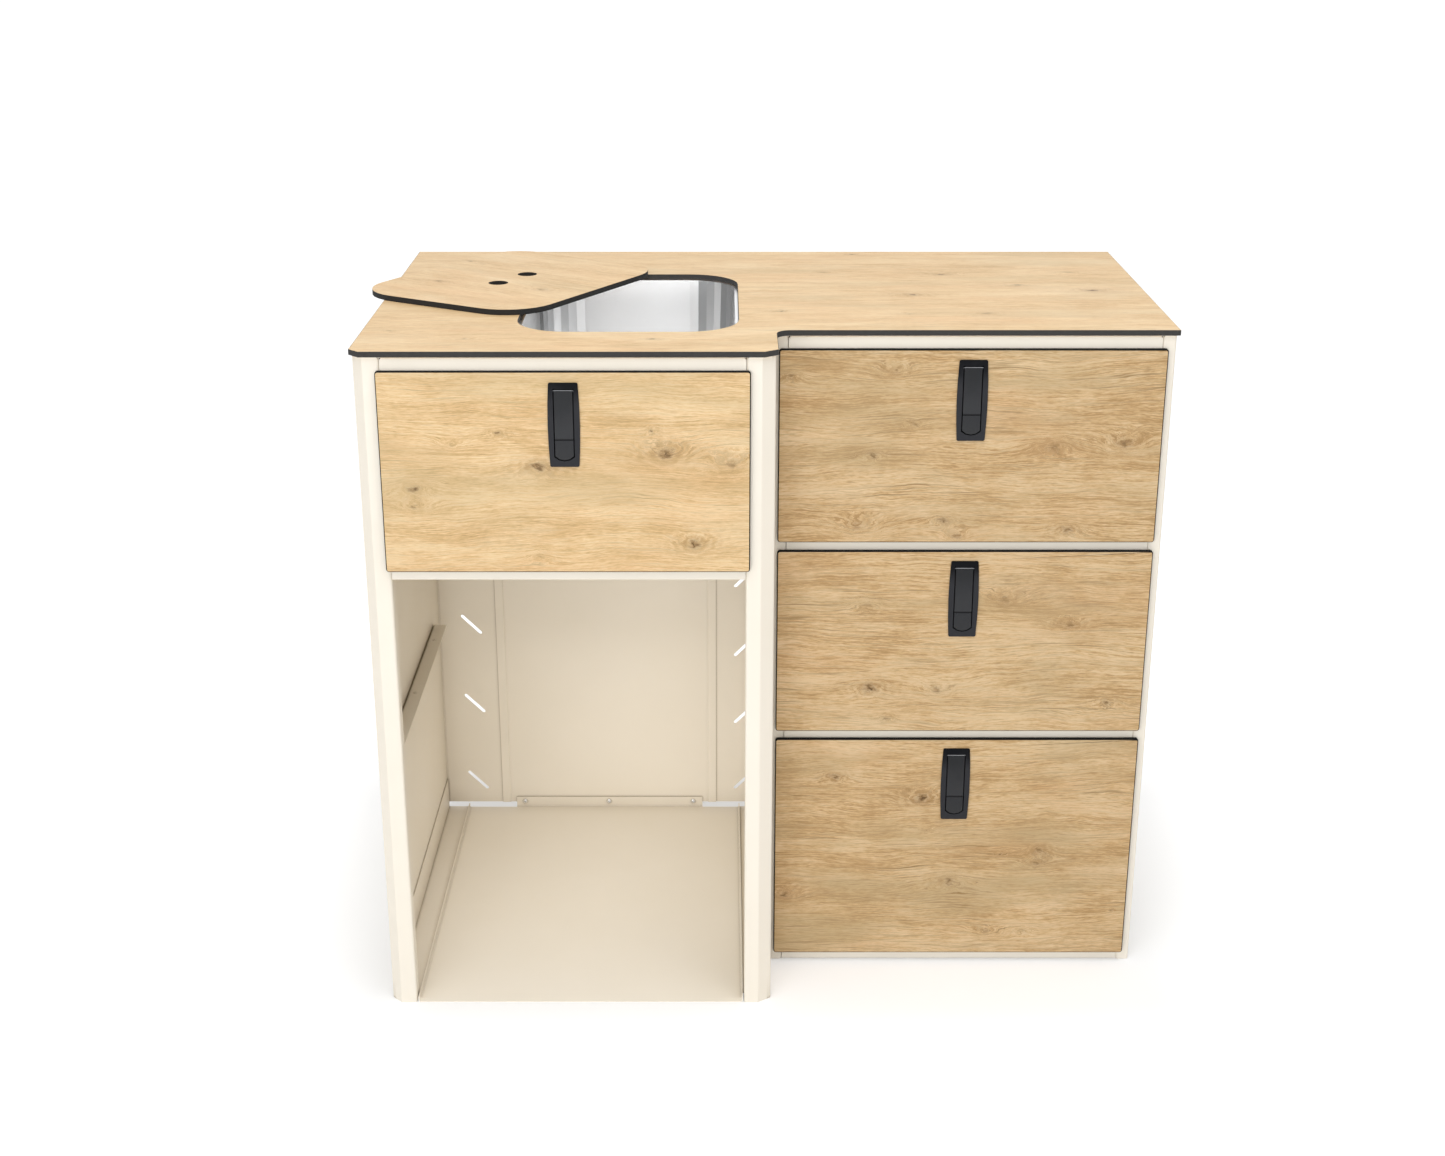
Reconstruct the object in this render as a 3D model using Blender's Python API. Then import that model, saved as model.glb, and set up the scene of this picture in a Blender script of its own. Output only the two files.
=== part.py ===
"""Campervan kitchen pod: a fridge bay under a sink drawer, beside three deeper-set drawers.

Metres, +Z up. X runs along the pod, -Y is the front, and the floor is z = 0. The origin lies on
the floor, under the middle of the worktop's outline.
"""

from math import asin, cos, degrees, pi, radians, sin

import bmesh
import bpy
from mathutils import Matrix, Vector

# Overall sizes
WORKTOP_WIDTH = 1.000
WORKTOP_DEPTH = 0.608
STEP_DEPTH = 0.110
OVERALL_HEIGHT = 0.880
LEFT_CABINET_WIDTH = 0.500
WORKTOP_THICKNESS = 0.007

# How the worktop stands past the cabinets
SIDE_OVERHANG = 0.0035
FRONT_OVERHANG = 0.0035
REAR_OVERHANG = 0.0315
STEP_OVERHANG = 0.003

# Corners of the worktop, which the left cabinet's posts follow
OUTER_CHAMFER = 0.013
INNER_CHAMFER_WIDTH = 0.0165
INNER_CHAMFER_DEPTH = 0.012
STEP_FILLET = 0.017

# Clearances
FIT_GAP = 0.0003
CABINET_GAP = 0.0005
CUT_OVERRUN = 0.002
WELD = 0.000002

# Folded sheet steel
SHEET = 0.0015
BEND = 0.003
OUTER_POST_FACE = 0.0205
INNER_POST_FACE = 0.0185
RIGHT_POST_FACE = 0.017
POST_RETURN = 0.022
POST_LIP = 0.010
WIDE_STRIP = 0.098
NARROW_STRIP = 0.0825
RIGHT_STRIP = 0.042
PANEL_LAP = 0.009
STRIP_LIFT = 0.009

# Notches at the seams between the posts and the top rails
RELIEF_RADIUS = 0.0021
RELIEF_DEPTH = 0.0032

# Vent slots in the rear strips of the fridge bay
SLOT_LENGTH = 0.038
SLOT_WIDTH = 0.0048
SLOT_ANGLE = 45
SLOT_COUNT = 4
SLOT_FIRST_HEIGHT = 0.047
WIDE_SLOT_PITCH = 0.132
NARROW_SLOT_PITCH = 0.1134
WIDE_SLOT_INSET = 0.051
NARROW_SLOT_INSET = 0.030

# Inside the fridge bay
BASE_ANGLE_HEIGHT = 0.049
FLOOR_HEM = 0.008
FLOOR_CLEARANCE = 0.0015
FLOOR_TAB_WIDTH = 0.294
FLOOR_TAB_HEIGHT = 0.018
LEDGE_TOP = 0.334
LEDGE_WIDTH = 0.020
LEDGE_FLANGE = 0.025
LEDGE_REAR_SPACE = 0.060

# Cross rails, drawer fronts and the floor pan behind them
RAIL_DEPTH = 0.025
RAIL_OVERLAP = 0.0075
FRONT_DROP = 0.0228
FRONT_HEIGHT = 0.250
FRONT_SPACING = 0.0115
FRONT_FOOT = 0.014
HEAD_RAIL_REVEAL = 0.0132
SINK_FRONT_OVERLAP = 0.005
FRONT_NEAR_REVEAL = 0.0055
FRONT_FAR_REVEAL = 0.0105
FRONT_THICKNESS = 0.007
FRONT_STANDOFF = 0.0008
FRONT_CORNER = 0.0035
PAN_SIDE = 0.018

# Drawer boxes and runners
RUNNER_WIDTH = 0.0125
RUNNER_HEIGHT = 0.045
RUNNER_CLEARANCE = 0.0004
RUNNER_RISE = 0.009
BOX_SIDE_CLEARANCE = 0.001
BOX_FLOOR_CLEARANCE = 0.004
BOX_REAR_CLEARANCE = 0.075
BOX_HEM = 0.006
SINK_BOX_HEIGHT = 0.062
UPPER_BOX_HEIGHT = 0.190
LOWER_BOX_HEIGHT = 0.250
BOX_WALL_BITE = 0.0003
BOX_LATCH_SPACE = 0.008

# Latch bezel and body
LATCH_HEIGHT = 0.1027
LATCH_END_WIDTH = 0.0348
LATCH_BOW = 0.0017
LATCH_CORNER = 0.002
LATCH_PROUD = 0.002
LATCH_DROP = 0.013
LATCH_BODY_WIDTH = 0.029
LATCH_BODY_INSET = 0.0035
LATCH_BODY_DEPTH = 0.0185
LATCH_HOLE_CLEARANCE = 0.0005
RECESS_WIDTH = 0.0246
RECESS_DEPTH = 0.011
RECESS_WEB = 0.0012
RECESS_TOP = 0.0074
RECESS_SIDE_LENGTH = 0.0835
RECESS_ARC = 0.0051
GROOVE = 0.0014

# Latch lever and its pivot
LEVER_LENGTH = 0.0615
LEVER_THICKNESS = 0.0045
LEVER_BEVEL = 0.0015
LEVER_END_GAP = 0.0007
PIVOT_DROP = 0.0025
PIVOT_RADIUS = 0.00125
PIVOT_CLEARANCE = 0.0003
PIVOT_REACH = 0.0025
ARM_LENGTH = 0.0155
ARM_WIDTH = 0.0056
ARM_THICKNESS = 0.003
ARM_SIDE_SPACE = 0.0007
ARM_TOP_SPACE = 0.0009
ARM_SWING_SPACE = 0.011

# Latch button
BUTTON_THICKNESS = 0.008
BUTTON_TRAVEL = 0.0025
STEM_RADIUS = 0.003
STEM_LENGTH = 0.0085

# Latch bolt
BOLT_WIDTH = 0.010
BOLT_THICKNESS = 0.004
BOLT_TAIL = 0.030
BOLT_BEVEL = 0.003
BOLT_TIP_CLEARANCE = 0.0005
BOLT_TRAVEL = 0.0086
BOLT_END_SPACE = 0.001
WINDOW_SIDE_SPACE = 0.0008
WINDOW_END_SPACE = 0.0011
KEEPER_SPACE = 0.002

# Sink
SINK_SIDE_MARGIN = 0.0433
SINK_FRONT_MARGIN = 0.1023
SINK_WIDTH = 0.275
SINK_LENGTH = 0.3425
SINK_CORNER = 0.065
BOWL_LEDGE = 0.004
BOWL_FLANGE = 0.012
BOWL_SHEET = 0.001
BOWL_DEPTH = 0.147
BOWL_DRAFT = 0.004
BOWL_ROUND = 0.018

# Drain under the sink
DRAIN_RADIUS = 0.030
DRAIN_COLLAR = 0.008
DRAIN_HEIGHT = 0.038
DRAIN_WALL = 0.0015
OUTLET_RADIUS = 0.0115
OUTLET_LENGTH = 0.055
NUT_WALL = 0.009
NUT_HEIGHT = 0.008

# Lid, lying where the photograph shows it
LID_CLEARANCE = 0.0015
LID_TURN = -30.5
LID_FROM_LEFT = 0.158
LID_FROM_FRONT = 0.383
FINGER_HOLE_RADIUS = 0.013
FINGER_HOLE_SPACING = 0.066

# Smoothness of round forms
CORNER_STEPS = 8
BEND_STEPS = 3
SMALL_STEPS = 4
BORE_SIDES = 24
DRAIN_SIDES = 48

# Places that follow from the sizes above
FRONT_Y = -WORKTOP_DEPTH / 2
REAR_Y = WORKTOP_DEPTH / 2
LEFT_X = -WORKTOP_WIDTH / 2
RIGHT_X = WORKTOP_WIDTH / 2
UNDERSIDE = OVERALL_HEIGHT - WORKTOP_THICKNESS
FRAME_TOP = UNDERSIDE - FIT_GAP
CABINET_BACK = REAR_Y - REAR_OVERHANG
STRIP_FACE = CABINET_BACK - SHEET
LEFT_FRAME = FRONT_Y + FRONT_OVERHANG
RIGHT_FRAME = LEFT_FRAME + STEP_DEPTH
LEFT_OUTER = LEFT_X + SIDE_OVERHANG
LEFT_INNER = LEFT_OUTER + LEFT_CABINET_WIDTH
RIGHT_INNER = LEFT_INNER + CABINET_GAP
RIGHT_OUTER = RIGHT_X - SIDE_OVERHANG
BAY_LEFT = LEFT_OUTER + OUTER_CHAMFER + OUTER_POST_FACE
BAY_RIGHT = LEFT_INNER - INNER_CHAMFER_WIDTH - INNER_POST_FACE
DRAWERS_LEFT = RIGHT_INNER + RIGHT_POST_FACE
DRAWERS_RIGHT = RIGHT_OUTER - RIGHT_POST_FACE
UPPER_TOP = OVERALL_HEIGHT - FRONT_DROP
UPPER_FOOT = UPPER_TOP - FRONT_HEIGHT
MIDDLE_TOP = UPPER_FOOT - FRONT_SPACING
MIDDLE_FOOT = MIDDLE_TOP - FRONT_HEIGHT
LOWER_TOP = MIDDLE_FOOT - FRONT_SPACING
BOWL_FLOOR = OVERALL_HEIGHT - BOWL_DEPTH
SINK_CENTRE = (LEFT_INNER - SINK_SIDE_MARGIN - SINK_WIDTH / 2,
               FRONT_Y + SINK_FRONT_MARGIN + SINK_LENGTH / 2)

# Heights inside a latch, down from the top of its bezel, and depths behind its front board's face
LEVER_TOP = -RECESS_TOP - LEVER_END_GAP
LEVER_FOOT = LEVER_TOP - LEVER_LENGTH
PIVOT_HEIGHT = LEVER_TOP - PIVOT_DROP
BUTTON_TOP = LEVER_FOOT - LEVER_END_GAP
RECESS_SIDE_FOOT = -RECESS_TOP - RECESS_SIDE_LENGTH
BUTTON_SIDE_FOOT = RECESS_SIDE_FOOT + GROOVE
BUTTON_HEIGHT = (BUTTON_TOP + BUTTON_SIDE_FOOT - RECESS_ARC) / 2
LATCH_BODY_FOOT = LATCH_BODY_INSET - LATCH_HEIGHT
BOLT_TIP = LATCH_DROP - RAIL_OVERLAP - BOLT_TIP_CLEARANCE
BOLT_FACE = RECESS_DEPTH + RECESS_WEB + FIT_GAP
BOLT_BACK = BOLT_FACE + BOLT_THICKNESS
LEVER_FACE = -LATCH_PROUD
LEVER_BACK = LEVER_FACE + LEVER_THICKNESS
BUTTON_BACK = LEVER_FACE + BUTTON_THICKNESS
STEM_END = BUTTON_BACK + STEM_LENGTH

CREAM = ("cream_powder_coat", (0.94, 0.88, 0.76), 0.45, 0.0)
OAK = ("oak_laminate", (0.80, 0.60, 0.36), 0.50, 0.0)
PLASTIC = ("black_plastic", (0.045, 0.047, 0.050), 0.42, 0.0)
STAINLESS = ("stainless_steel", (0.62, 0.63, 0.64), 0.25, 1.0)
ZINC = ("zinc_steel", (0.55, 0.56, 0.58), 0.40, 1.0)


def clear_scene():
    for item in list(bpy.data.objects):
        bpy.data.objects.remove(item, do_unlink=True)


def surface(name, colour, roughness, metallic):
    found = bpy.data.materials.get(name)
    if found:
        return found
    made = bpy.data.materials.new(name)
    made.use_nodes = True
    shader = made.node_tree.nodes["Principled BSDF"]
    shader.inputs["Base Color"].default_value = (*colour, 1.0)
    shader.inputs["Roughness"].default_value = roughness
    shader.inputs["Metallic"].default_value = metallic
    made.diffuse_color = (*colour, 1.0)
    return made


def make_object(name, bm, finish):
    bmesh.ops.recalc_face_normals(bm, faces=bm.faces)
    mesh = bpy.data.meshes.new(name)
    bm.to_mesh(mesh)
    bm.free()
    made = bpy.data.objects.new(name, mesh)
    bpy.context.scene.collection.objects.link(made)
    mesh.materials.append(surface(*finish))
    return made


def on_axis(point, along, axis):
    """Sets a point of a flat outline at a distance along the axis that the outline is pushed along."""
    first, second = point
    if axis == "X":
        return Vector((along, first, second))
    if axis == "Y":
        return Vector((first, along, second))
    return Vector((first, second, along))


def prism(name, outline, axis, start, end, finish):
    """Pushes a closed outline along an axis: (y, z) along X, (x, z) along Y or (x, y) along Z."""
    bm = bmesh.new()
    corners = [bm.verts.new(on_axis(point, start, axis)) for point in outline]
    face = bm.faces.new(corners)
    pushed = bmesh.ops.extrude_face_region(bm, geom=[face])
    moved = [item for item in pushed["geom"] if isinstance(item, bmesh.types.BMVert)]
    bmesh.ops.translate(bm, vec=on_axis((0, 0), end - start, axis), verts=moved)
    return make_object(name, bm, finish)


def block(name, low, high, finish):
    outline = [(low[0], low[1]), (high[0], low[1]), (high[0], high[1]), (low[0], high[1])]
    return prism(name, outline, "Z", low[2], high[2], finish)


def circle(centre, radius, sides=BORE_SIDES):
    turns = [2 * pi * k / sides for k in range(sides)]
    return [(centre[0] + radius * cos(a), centre[1] + radius * sin(a)) for a in turns]


def arc(centre, radius, start, end, steps):
    turns = [radians(start + (end - start) * k / steps) for k in range(steps + 1)]
    return [(centre[0] + radius * cos(a), centre[1] + radius * sin(a)) for a in turns]


def rounded_box(low, high, radius, steps=CORNER_STEPS):
    """A rectangle with round corners, anticlockwise from its lower right corner."""
    corners = ((high[0] - radius, low[1] + radius, -90), (high[0] - radius, high[1] - radius, 0),
               (low[0] + radius, high[1] - radius, 90), (low[0] + radius, low[1] + radius, 180))
    points = []
    for x, y, start in corners:
        points += arc((x, y), radius, start, start + 90, steps)
    return points


def bent_path(path, side):
    """Rounds each inner corner of an open path, as the face of a sheet that lies to one side of it."""
    points = [Vector(path[0])]
    for before, corner, after in zip(path, path[1:], path[2:]):
        corner = Vector(corner)
        into = (Vector(before) - corner).normalized()
        out = (Vector(after) - corner).normalized()
        turn = (into.y * out.x - into.x * out.y) * side
        radius = BEND if turn > 0 else BEND - SHEET
        half = into.angle(out) / 2
        reach = radius * cos(half) / sin(half)
        centre = corner + (into + out).normalized() * (radius / sin(half))
        first = (corner + into * reach - centre).normalized()
        last = (corner + out * reach - centre).normalized()
        for k in range(BEND_STEPS + 1):
            points.append(centre + first.slerp(last, k / BEND_STEPS) * radius)
    points.append(Vector(path[-1]))
    return points


def sheet_outline(path, side):
    """The section of a sheet folded along a path, and lying to its left (1) or its right (-1)."""
    face = bent_path(path, side)
    normals = []
    for start, end in zip(face, face[1:]):
        run = (end - start).normalized()
        normals.append(Vector((-run.y, run.x)) * side)
    inner = [face[0] + normals[0] * SHEET]
    for point, before, after in zip(face[1:-1], normals, normals[1:]):
        inner.append(point + (before + after) * (SHEET / (1 + before.dot(after))))
    inner.append(face[-1] + normals[-1] * SHEET)
    return [tuple(point) for point in face + inner[::-1]]


def combine(target, other, operation):
    """Joins or cuts two solids, keeps the result in the first and removes the second."""
    modifier = target.modifiers.new("combine", "BOOLEAN")
    modifier.operation = operation
    modifier.solver = "EXACT"
    modifier.object = other
    view = bpy.context.evaluated_depsgraph_get()
    result = bmesh.new()
    result.from_object(target, view)
    bmesh.ops.remove_doubles(result, verts=result.verts, dist=WELD)
    result.to_mesh(target.data)
    result.free()
    target.modifiers.remove(modifier)
    bpy.data.objects.remove(other, do_unlink=True)


def cut(target, *cutters):
    for cutter in cutters:
        combine(target, cutter, "DIFFERENCE")
    return target


def join(target, *others):
    for other in others:
        combine(target, other, "UNION")
    return target


def smooth(item, angle=35):
    item.data.shade_smooth()
    item.data.set_sharp_from_angle(angle=radians(angle))
    return item


def shift(item, place):
    item.data.transform(Matrix.Translation(place))
    return item


def joint_empty(name, place):
    made = bpy.data.objects.new(name, None)
    bpy.context.scene.collection.objects.link(made)
    made.location = place
    return made


def carry(item, parent, pivot):
    """Hangs a piece on a joint's empty, with its own origin at a pivot given in world places."""
    shift(item, -pivot)
    item.location = pivot - parent.location
    item.parent = parent


def worktop_outline():
    step_x = LEFT_INNER + STEP_OVERHANG
    step_y = FRONT_Y + STEP_DEPTH
    points = [(LEFT_X + OUTER_CHAMFER, FRONT_Y), (step_x - INNER_CHAMFER_WIDTH, FRONT_Y),
              (step_x, FRONT_Y + INNER_CHAMFER_DEPTH)]
    points += arc((step_x + STEP_FILLET, step_y - STEP_FILLET), STEP_FILLET, 180, 90, CORNER_STEPS)
    points += [(RIGHT_X, step_y), (RIGHT_X, REAR_Y), (LEFT_X, REAR_Y), (LEFT_X, FRONT_Y + OUTER_CHAMFER)]
    return points


def sink_outline(inset):
    """The outline of the sink's cut-out, drawn in by an inset."""
    x, y = SINK_CENTRE
    half_width = SINK_WIDTH / 2 - inset
    half_length = SINK_LENGTH / 2 - inset
    low = (x - half_width, y - half_length)
    high = (x + half_width, y + half_length)
    return rounded_box(low, high, SINK_CORNER - inset)


def make_worktop():
    board = prism("worktop", worktop_outline(), "Z", UNDERSIDE, OVERALL_HEIGHT, OAK)
    hole = prism("hole", sink_outline(0), "Z", UNDERSIDE - CUT_OVERRUN, OVERALL_HEIGHT + CUT_OVERRUN, OAK)
    smooth(cut(board, hole))


def make_sink_lid():
    """The lift-out lid has the cut-out's outline and lies turned on the worktop."""
    half_width = SINK_WIDTH / 2 - LID_CLEARANCE
    half_length = SINK_LENGTH / 2 - LID_CLEARANCE
    outline = rounded_box((-half_width, -half_length), (half_width, half_length),
                          SINK_CORNER - LID_CLEARANCE)
    lid = prism("sink_lid", outline, "Z", FIT_GAP, FIT_GAP + WORKTOP_THICKNESS, OAK)
    for side in (-1, 1):
        place = (0, side * FINGER_HOLE_SPACING / 2)
        hole = circle(place, FINGER_HOLE_RADIUS, DRAIN_SIDES)
        cut(lid, prism("hole", hole, "Z", -CUT_OVERRUN, FIT_GAP + WORKTOP_THICKNESS + CUT_OVERRUN, OAK))
    smooth(lid)
    lid.location = (LEFT_X + LID_FROM_LEFT, FRONT_Y + LID_FROM_FRONT, OVERALL_HEIGHT)
    lid.rotation_euler = (0, 0, radians(LID_TURN))


def bowl_rings(skin):
    """Rings down the bowl's wall and into its floor, on the inner skin (0) or a sheet behind it."""
    top = UNDERSIDE - FIT_GAP - skin
    wall = BOWL_LEDGE + BOWL_DRAFT - skin
    bend = BOWL_ROUND + skin
    levels = [(BOWL_LEDGE - skin, top)]
    for k in range(SMALL_STEPS + 1):
        turn = pi / 2 * k / SMALL_STEPS
        levels.append((wall + bend * (1 - cos(turn)), BOWL_FLOOR - skin + bend * (1 - sin(turn))))
    return [[(x, y, height) for x, y in sink_outline(inset)] for inset, height in levels]


def drain_ring(height):
    """The drain hole's edge, with a point for each point of the bowl's outline."""
    count = 4 * (CORNER_STEPS + 1)
    start = -pi / 4 - pi * CORNER_STEPS / count
    x, y = SINK_CENTRE
    turns = [start + 2 * pi * k / count for k in range(count)]
    return [(x + DRAIN_RADIUS * cos(a), y + DRAIN_RADIUS * sin(a), height) for a in turns]


def make_sink_bowl():
    """The bowl is skinned as one closed loop of rings: rim, inside, drain hole and outside."""
    top = UNDERSIDE - FIT_GAP
    rim = sink_outline(-BOWL_FLANGE)
    rings = [[(x, y, top) for x, y in rim]]
    rings += bowl_rings(0)
    rings += [drain_ring(BOWL_FLOOR), drain_ring(BOWL_FLOOR - BOWL_SHEET)]
    rings += bowl_rings(BOWL_SHEET)[::-1]
    rings.append([(x, y, top - BOWL_SHEET) for x, y in rim])
    bm = bmesh.new()
    made = [[bm.verts.new(point) for point in ring] for ring in rings]
    for ring, following in zip(made, made[1:] + made[:1]):
        for k, corner in enumerate(ring):
            after = (k + 1) % len(ring)
            bm.faces.new((corner, ring[after], following[after], following[k]))
    smooth(make_object("sink_bowl", bm, STAINLESS))


def make_sink_waste():
    """The drain cup hangs through the bowl's floor, with its outlet turned to the rear."""
    seat = BOWL_FLOOR + FIT_GAP
    foot = BOWL_FLOOR - DRAIN_HEIGHT
    neck = DRAIN_RADIUS - FIT_GAP
    y = SINK_CENTRE[1]
    outlet_end = y + neck + OUTLET_LENGTH
    outlet_axis = (SINK_CENTRE[0], foot + OUTLET_RADIUS + DRAIN_WALL)
    cup = prism("sink_waste", circle(SINK_CENTRE, neck, DRAIN_SIDES), "Z", foot, seat + DRAIN_WALL / 2,
                STAINLESS)
    collar = prism("collar", circle(SINK_CENTRE, DRAIN_RADIUS + DRAIN_COLLAR, DRAIN_SIDES), "Z", seat,
                   seat + DRAIN_WALL, STAINLESS)
    outlet = prism("outlet", circle(outlet_axis, OUTLET_RADIUS), "Y", y, outlet_end, STAINLESS)
    well = prism("well", circle(SINK_CENTRE, neck - DRAIN_WALL, DRAIN_SIDES), "Z", foot + DRAIN_WALL,
                 seat + DRAIN_WALL + CUT_OVERRUN, STAINLESS)
    bore = prism("bore", circle(outlet_axis, OUTLET_RADIUS - DRAIN_WALL), "Y", y,
                 outlet_end + CUT_OVERRUN, STAINLESS)
    join(cup, collar, outlet)
    smooth(cut(cup, well, bore))


def make_waste_nut():
    top = BOWL_FLOOR - BOWL_SHEET - FIT_GAP
    foot = top - NUT_HEIGHT
    nut = prism("sink_waste_nut", circle(SINK_CENTRE, DRAIN_RADIUS + NUT_WALL, DRAIN_SIDES), "Z", foot,
                top, PLASTIC)
    bore = prism("bore", circle(SINK_CENTRE, DRAIN_RADIUS, DRAIN_SIDES), "Z", foot - CUT_OVERRUN,
                 top + CUT_OVERRUN, PLASTIC)
    smooth(cut(nut, bore))


def relieve(item, x, frame):
    """Cuts the round-footed notch at a seam, where the bends of a post and a top rail meet."""
    outline = arc((x, FRAME_TOP - RELIEF_DEPTH + RELIEF_RADIUS), RELIEF_RADIUS, 180, 360, SMALL_STEPS)
    outline += [(x + RELIEF_RADIUS, FRAME_TOP + CUT_OVERRUN), (x - RELIEF_RADIUS, FRAME_TOP + CUT_OVERRUN)]
    return cut(item, prism("relief", outline, "Y", frame - CUT_OVERRUN, frame + BEND, CREAM))


def make_side(name, outer, inward, opening, frame, strip, chamfer=None):
    """A cabinet side with its front post and rear strip, folded from one sheet."""
    path = [(opening - inward * POST_LIP, frame + POST_RETURN), (opening, frame + POST_RETURN),
            (opening, frame)]
    if chamfer:
        path += [(outer + inward * chamfer[0], frame), (outer, frame + chamfer[1])]
    else:
        path.append((outer, frame))
    path += [(outer, CABINET_BACK), (outer + inward * strip, CABINET_BACK)]
    side = prism(name, sheet_outline(path, -inward), "Z", 0, FRAME_TOP, CREAM)
    ends = sorted((outer + inward * BEND, outer + inward * (strip + CUT_OVERRUN)))
    low = (ends[0], STRIP_FACE - CUT_OVERRUN, -CUT_OVERRUN)
    high = (ends[1], CABINET_BACK + CUT_OVERRUN, STRIP_LIFT)
    cut(side, block("notch", low, high, CREAM))
    return relieve(side, opening, frame)


def cut_slots(side, x, pitch, lean):
    """Cuts a column of round-ended slots through a rear strip, all leaning to one side."""
    half = SLOT_LENGTH / 2
    upright = arc((half, 0), SLOT_WIDTH / 2, -90, 90, SMALL_STEPS)
    upright += arc((-half, 0), SLOT_WIDTH / 2, 90, 270, SMALL_STEPS)
    turn = Matrix.Rotation(radians(SLOT_ANGLE) * lean, 2)
    for k in range(SLOT_COUNT):
        middle = Vector((x, SLOT_FIRST_HEIGHT + k * pitch))
        outline = [tuple(turn @ Vector(point) + middle) for point in upright]
        cut(side, prism("slot", outline, "Y", STRIP_FACE - CUT_OVERRUN, CABINET_BACK + CUT_OVERRUN, CREAM))


def make_sides():
    left = make_side("left_side_panel", LEFT_OUTER, 1, BAY_LEFT, LEFT_FRAME, WIDE_STRIP,
                     (OUTER_CHAMFER, OUTER_CHAMFER))
    cut_slots(left, LEFT_OUTER + WIDE_SLOT_INSET, WIDE_SLOT_PITCH, -1)
    middle = make_side("bay_right_panel", LEFT_INNER, -1, BAY_RIGHT, LEFT_FRAME, NARROW_STRIP,
                       (INNER_CHAMFER_WIDTH, INNER_CHAMFER_DEPTH))
    cut_slots(middle, LEFT_INNER - NARROW_SLOT_INSET, NARROW_SLOT_PITCH, 1)
    near = make_side("drawers_left_panel", RIGHT_INNER, 1, DRAWERS_LEFT, RIGHT_FRAME, RIGHT_STRIP)
    far = make_side("right_side_panel", RIGHT_OUTER, -1, DRAWERS_RIGHT, RIGHT_FRAME, RIGHT_STRIP)
    for side in (left, middle, near, far):
        smooth(side)


def make_bay_back():
    """The rear panel of the fridge bay, whose edges step forward over the rear strips."""
    lap_y = STRIP_FACE - FIT_GAP
    step = CABINET_BACK - lap_y
    left_end = LEFT_OUTER + WIDE_STRIP
    right_end = LEFT_INNER - NARROW_STRIP
    left_turn = left_end + step
    right_turn = right_end - step
    path = [(left_end - PANEL_LAP, lap_y), (left_turn, lap_y), (left_turn + step, CABINET_BACK),
            (right_turn - step, CABINET_BACK), (right_turn, lap_y), (right_end + PANEL_LAP, lap_y)]
    smooth(prism("bay_rear_panel", sheet_outline(path, -1), "Z", STRIP_LIFT, FRAME_TOP, CREAM))


def make_drawers_back():
    """The rear panel behind the three drawers, with a lip forward under the worktop."""
    face = STRIP_FACE - FIT_GAP
    path = [(face, STRIP_LIFT), (face, FRAME_TOP), (face - RAIL_DEPTH, FRAME_TOP)]
    left = RIGHT_INNER + RIGHT_STRIP - PANEL_LAP
    right = RIGHT_OUTER - RIGHT_STRIP + PANEL_LAP
    smooth(prism("drawers_rear_panel", sheet_outline(path, 1), "X", left, right, CREAM))


def make_bay_floor():
    """The floor pan of the fridge bay: a hem up each side and a screw tab up the back."""
    left = BAY_LEFT + FLOOR_CLEARANCE
    right = BAY_RIGHT - FLOOR_CLEARANCE
    back = STRIP_FACE - FIT_GAP
    hems = sheet_outline([(left, FLOOR_HEM), (left, 0), (right, 0), (right, FLOOR_HEM)], 1)
    floor = prism("bay_floor", hems, "Y", LEFT_FRAME, back - BEND, CREAM)
    middle = (LEFT_OUTER + WIDE_STRIP + LEFT_INNER - NARROW_STRIP) / 2
    tab_path = [(back - BEND - BEND, 0), (back, 0), (back, FLOOR_TAB_HEIGHT)]
    tab = prism("tab", sheet_outline(tab_path, 1), "X", middle - FLOOR_TAB_WIDTH / 2,
                middle + FLOOR_TAB_WIDTH / 2, CREAM)
    smooth(join(floor, tab))


def make_base_angles():
    """Angles that tie the sides of the fridge bay to its floor."""
    front = LEFT_FRAME + POST_RETURN + FIT_GAP
    back = CABINET_BACK - BEND - FIT_GAP
    sides = (("base_angle_left", LEFT_OUTER, 1, BAY_LEFT), ("base_angle_right", LEFT_INNER, -1, BAY_RIGHT))
    for name, outer, inward, opening in sides:
        wall = outer + inward * (SHEET + FIT_GAP)
        inner = wall + inward * SHEET
        edge = opening + inward * (FLOOR_CLEARANCE - FIT_GAP)
        outline = [(wall, 0), (edge, 0), (edge, SHEET), (inner, SHEET), (inner, BASE_ANGLE_HEIGHT),
                   (wall, BASE_ANGLE_HEIGHT)]
        prism(name, outline, "Y", front, back, CREAM)


def make_ledges():
    """Shelf ledges on the two sides of the fridge bay."""
    front = LEFT_FRAME + POST_RETURN + FIT_GAP
    back = STRIP_FACE - LEDGE_REAR_SPACE
    for name, outer, inward in (("bay_ledge_left", LEFT_OUTER, 1), ("bay_ledge_right", LEFT_INNER, -1)):
        wall = outer + inward * (SHEET + FIT_GAP)
        path = [(wall, LEDGE_TOP - LEDGE_FLANGE), (wall, LEDGE_TOP), (wall + inward * LEDGE_WIDTH, LEDGE_TOP)]
        smooth(prism(name, sheet_outline(path, -inward), "Y", front, back, CREAM))


def make_drawers_floor():
    left = RIGHT_INNER + SHEET + FIT_GAP
    right = RIGHT_OUTER - SHEET - FIT_GAP
    front = RIGHT_FRAME + RAIL_DEPTH + FIT_GAP
    back = STRIP_FACE - FIT_GAP - SHEET - FIT_GAP
    path = [(left, PAN_SIDE), (left, 0), (right, 0), (right, PAN_SIDE)]
    smooth(prism("drawers_floor", sheet_outline(path, 1), "Y", front, back, CREAM))


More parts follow.
